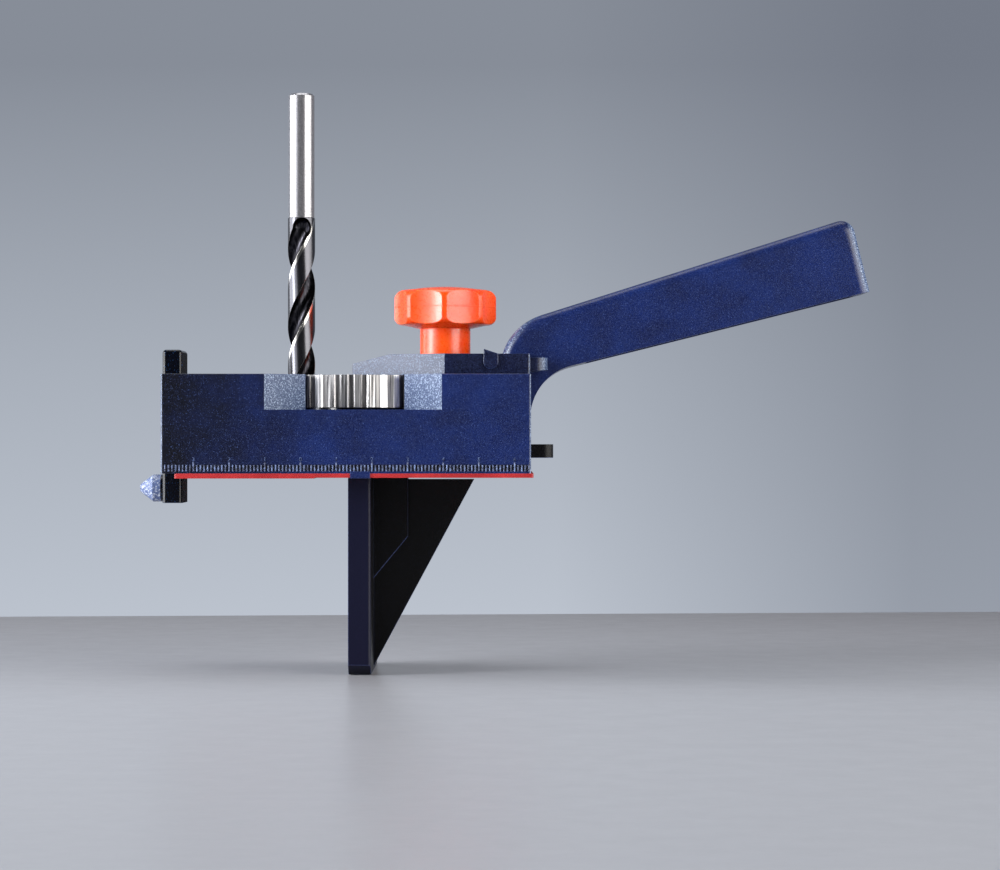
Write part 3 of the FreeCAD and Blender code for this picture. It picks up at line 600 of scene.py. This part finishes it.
def rib_tree():
    """Raised marks in a row: short ones, with a longer one at every tenth."""
    tree = bpy.data.node_groups.new("ruler_ribs", "GeometryNodeTree")
    inputs = (("Start X", "NodeSocketFloat"), ("Side Y", "NodeSocketFloat"), ("Foot Z", "NodeSocketFloat"),
              ("Pitch", "NodeSocketFloat"), ("Count", "NodeSocketInt"), ("First Long", "NodeSocketInt"),
              ("Width", "NodeSocketFloat"), ("Short", "NodeSocketFloat"), ("Long", "NodeSocketFloat"),
              ("Finish", "NodeSocketMaterial"))
    for label, kind in inputs:
        tree.interface.new_socket(label, in_out="INPUT", socket_type=kind)
    tree.interface.new_socket("Ribs", in_out="OUTPUT", socket_type="NodeSocketGeometry")
    given = tree.nodes.new("NodeGroupInput").outputs
    out = tree.nodes.new("NodeGroupOutput").inputs
    start = add(tree, "ShaderNodeCombineXYZ", None, X=given["Start X"], Y=given["Side Y"], Z=given["Foot Z"])
    step = add(tree, "ShaderNodeCombineXYZ", None, X=given["Pitch"])
    row = add(tree, "GeometryNodeMeshLine", {"mode": "OFFSET"}, Count=given["Count"],
              Start_Location=start.outputs[0], Offset=step.outputs[0])
    half = times(tree, given["Width"], 0.5)
    bar = add(tree, "GeometryNodeMeshCylinder", None, Vertices=4, Radius=half, Depth=1.0)
    flat = add(tree, "GeometryNodeSetShadeSmooth", None, Geometry=bar.outputs[0], Shade_Smooth=False)
    raised = add(tree, "GeometryNodeTransform", None, Geometry=flat.outputs[0], Translation=(0, 0, 0.5))
    order = work_out(tree, "ADD", add(tree, "GeometryNodeInputIndex").outputs[0], given["First Long"])
    from_long = work_out(tree, "MODULO", order, float(MARKS_TO_A_LONG_ONE))
    is_long = work_out(tree, "COMPARE", from_long, 0.0, 0.5)
    length = add(tree, "ShaderNodeMix", None, in0=is_long, in2=given["Short"], in3=given["Long"])
    scale = add(tree, "ShaderNodeCombineXYZ", None, X=1.0, Y=1.0, Z=length.outputs[0])
    ribs = add(tree, "GeometryNodeInstanceOnPoints", None, Points=row.outputs[0],
               Instance=raised.outputs[0], Scale=scale.outputs[0])
    real = add(tree, "GeometryNodeRealizeInstances", None, Geometry=ribs.outputs[0])
    done = add(tree, "GeometryNodeSetMaterial", None, Geometry=real.outputs[0], Material=given["Finish"])
    tree.links.new(done.outputs[0], out["Ribs"])
    return tree


def plain_mesh(thing):
    """The mesh that an object comes to, with its modifiers or its text worked out."""
    return bpy.data.meshes.new_from_object(thing.evaluated_get(bpy.context.evaluated_depsgraph_get()))


def grown(name, tree, values):
    """The plain mesh that a Geometry Nodes tree makes from its named inputs."""
    holder = put_object(name, bpy.data.meshes.new(name))
    modifier = holder.modifiers.new("made", "NODES")
    modifier.node_group = tree
    for item in tree.interface.items_tree:
        if item.in_out == "INPUT" and item.name in values:
            modifier[item.identifier] = values[item.name]
    mesh = plain_mesh(holder)
    holder.modifiers.remove(modifier)
    holder.data = mesh
    return holder


def join(name, pieces):
    """One object from several meshes, each already in place."""
    with bpy.context.temp_override(active_object=pieces[0], selected_editable_objects=pieces,
                                   selected_objects=pieces):
        bpy.ops.object.join()
    pieces[0].name = name
    return pieces[0]


def digit(number, x, side):
    """A raised digit on the side wall, read from outside."""
    curve = bpy.data.curves.new("digit", "FONT")
    curve.body = str(number)
    curve.size = DIGIT_HEIGHT * MM
    curve.extrude = DIGIT_RELIEF * MM
    curve.align_x = "CENTER"
    text = put_object("digit", curve)
    mesh = plain_mesh(text)
    bpy.data.objects.remove(text)
    stand = Matrix.Rotation(math.radians(90), 4, "X")
    face = Matrix.Rotation(math.radians(180), 4, "Z") if side > 0 else Matrix.Identity(4)
    place = Vector((x, side * WALL_Y, DIGIT_Z)) * MM
    mesh.transform(Matrix.Translation(place) @ face @ stand)
    mesh.materials.clear()
    mesh.materials.append(rib_finish)
    return put_object("digit", mesh)


def catch(side):
    """A small catch of the housing's wall that hangs over the sole's edge, beside the fence."""
    near = side * (WALL_Y + CATCH_GAP)
    ys = sorted((near, near + side * CATCH_DEPTH))
    corners = [Vector((x, y, z)) * MM for z in CATCH_Z for y in ys for x in CATCH_X]
    faces = [(0, 2, 3, 1), (4, 5, 7, 6), (0, 1, 5, 4), (2, 6, 7, 3), (0, 4, 6, 2), (1, 3, 7, 5)]
    mesh = bpy.data.meshes.new("catch")
    mesh.from_pydata(corners, [], faces)
    mesh.materials.append(navy)
    return put_object("catch", mesh)


RULER = {"Start X": (RULER_ZERO_X - MARKS_BEFORE_ZERO) * MM, "Foot Z": RULER_FOOT * MM, "Pitch": 1.0 * MM,
         "Count": RULER_MARKS, "First Long": -MARKS_BEFORE_ZERO % MARKS_TO_A_LONG_ONE,
         "Width": RULER_RIB_WIDTH * MM, "Short": RULER_RIB * MM, "Long": RULER_LONG_RIB * MM,
         "Finish": rib_finish}
ruler_ribs = rib_tree()
marks = [grown("ruler_near", ruler_ribs, {**RULER, "Side Y": -WALL_Y * MM}),
         grown("ruler_far", ruler_ribs, {**RULER, "Side Y": WALL_Y * MM}),
         catch(-1), catch(1)]
for side in (-1, 1):
    for count in range(DIGITS_FROM, DIGITS_TO + 1):
        marks.append(digit(abs(count), RULER_ZERO_X + MARKS_TO_A_LONG_ONE * count, side))
ruler = join("ruler", marks)
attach(ruler, "housing")


# Floor, backdrop, light and camera

def lit_backdrop():
    """A curtain that glows grey to the camera and to shiny parts, with painted shade towards its top and
    right.
    """
    material = bpy.data.materials.new("backdrop_grey")
    material.use_nodes = True
    tree = material.node_tree
    tree.nodes.clear()
    place = parts_of(tree, own_place(tree))
    # Painted shade: the curtain turns darker towards its top and to the right.
    ramp = add(tree, "ShaderNodeValToRGB", None, Fac=stretch(tree, place[2], -90.0, 230.0))
    tones = ramp.color_ramp.elements
    tones[0].color = shade(187, 194, 205)
    tones[1].color = shade(135, 141, 152)
    tones.new(0.45).color = shade(168, 175, 186)
    aside = stretch(tree, place[0], 90.0, 300.0)
    colour = lay_over(tree, ramp.outputs[0], aside, 0.5, shade(96, 102, 116))
    lamp = add(tree, "ShaderNodeEmission", None, Color=colour, Strength=1.0)
    cloth = add(tree, "ShaderNodeBsdfDiffuse", None, Color=colour)
    path = add(tree, "ShaderNodeLightPath").outputs
    seen = work_out(tree, "MAXIMUM", path["Is Camera Ray"], path["Is Glossy Ray"])
    mixed = add(tree, "ShaderNodeMixShader", None, in0=seen, in1=cloth.outputs[0], in2=lamp.outputs[0])
    add(tree, "ShaderNodeOutputMaterial", None, Surface=mixed.outputs[0])
    return material


def table_top():
    """A plain grey table with a soft sheen, painted paler towards the camera as the lamps' pool of light."""
    material, tree, shader = new_finish("table_grey", 0.3)
    grain = put_effect(tree, moulded_grain, Grain_Size=2.0, Speck_Share=0.1)
    # Painted light: the table is paler nearer the camera.
    near = stretch(tree, parts_of(tree, own_place(tree))[1], 290.0, -110.0)
    tree.links.new(blend_colour(tree, near, shade(119, 116, 119), shade(166, 168, 175)), shader["Base Color"])
    tree.links.new(of_noise(tree, grain["Mottle"], 0.28, 0.34), shader["Roughness"])
    return material


def stage_sheet(name, corners, material):
    """A flat sheet of the stage through four corners, in millimetres."""
    mesh = bpy.data.meshes.new(name)
    mesh.from_pydata([Vector(corner) * MM for corner in corners], [], [(0, 1, 2, 3)])
    mesh.materials.append(material)
    put_object(name, mesh)


# The table's far end lies askew, so that its line rises a little to the right.
stage_sheet("table", [(-TABLE_HALF, -TABLE_HALF, FLOOR_Z), (TABLE_HALF, -TABLE_HALF, FLOOR_Z),
                      (TABLE_HALF, TABLE_END_RIGHT, FLOOR_Z), (-TABLE_HALF, TABLE_END_LEFT, FLOOR_Z)],
            table_top())
stage_sheet("curtain", [(-CURTAIN_HALF, CURTAIN_Y, CURTAIN_Z[0]), (CURTAIN_HALF, CURTAIN_Y, CURTAIN_Z[0]),
                        (CURTAIN_HALF, CURTAIN_Y, CURTAIN_Z[1]), (-CURTAIN_HALF, CURTAIN_Y, CURTAIN_Z[1])],
            lit_backdrop())


def softbox(name, place, wide, high, watts, tint, target=JIG_MIDDLE):
    """A large soft lamp that faces a point. Lengths are in millimetres."""
    lamp = bpy.data.lights.new(name, "AREA")
    lamp.shape = "RECTANGLE"
    lamp.size, lamp.size_y = wide * MM, high * MM
    lamp.energy = watts
    lamp.color = tint
    holder = put_object(name, lamp)
    holder.location = Vector(place) * MM
    way = Vector(target) - Vector(place)
    holder.rotation_euler = way.to_track_quat("-Z", "Y").to_euler()
    holder.visible_camera = False


COOL = (0.97, 0.985, 1.0)
WARM = (1.0, 0.98, 0.93)
WHITE = (1.0, 1.0, 1.0)
softbox("left_side", (-1027, 0, 220), 1040, 1000, 19, COOL)
softbox("left_key", (-870, -375, 200), 250, 850, 11, COOL)
softbox("left_front", (-788, -672, 220), 519, 1000, 4.5, COOL)
softbox("right_side", (1130, -151, 220), 684, 1000, 10, WARM)
softbox("right_front", (866, -716, 220), 640, 1000, 12, WARM)
softbox("top_softbox", (60, 200, 1200), 900, 600, 5, WHITE, target=(50, 0, 0))

# The camera sees the studio's walls brighter than they light the jig.
WALLS_LIGHT, WALLS_SEEN = 0.07, 0.6
world = bpy.data.worlds.new("studio")
bpy.context.scene.world = world
world.use_nodes = True
walls = world.node_tree.nodes["Background"].inputs
walls["Color"].default_value = shade(214, 220, 230)
to_camera = add(world.node_tree, "ShaderNodeLightPath").outputs["Is Camera Ray"]
strength = stretch(world.node_tree, to_camera, 0.0, 1.0, WALLS_LIGHT, WALLS_SEEN)
world.node_tree.links.new(strength, walls["Strength"])

camera = bpy.data.cameras.new("camera")
camera.lens = 108.97
camera.sensor_width = 36.0
camera.clip_start = 0.05
viewer = put_object("camera", camera)
viewer.location = (0.0577, -0.880, 0.0122)
viewer.rotation_euler = (math.radians(90), 0, 0)
bpy.context.scene.camera = viewer
bpy.context.scene.view_settings.view_transform = "Standard"
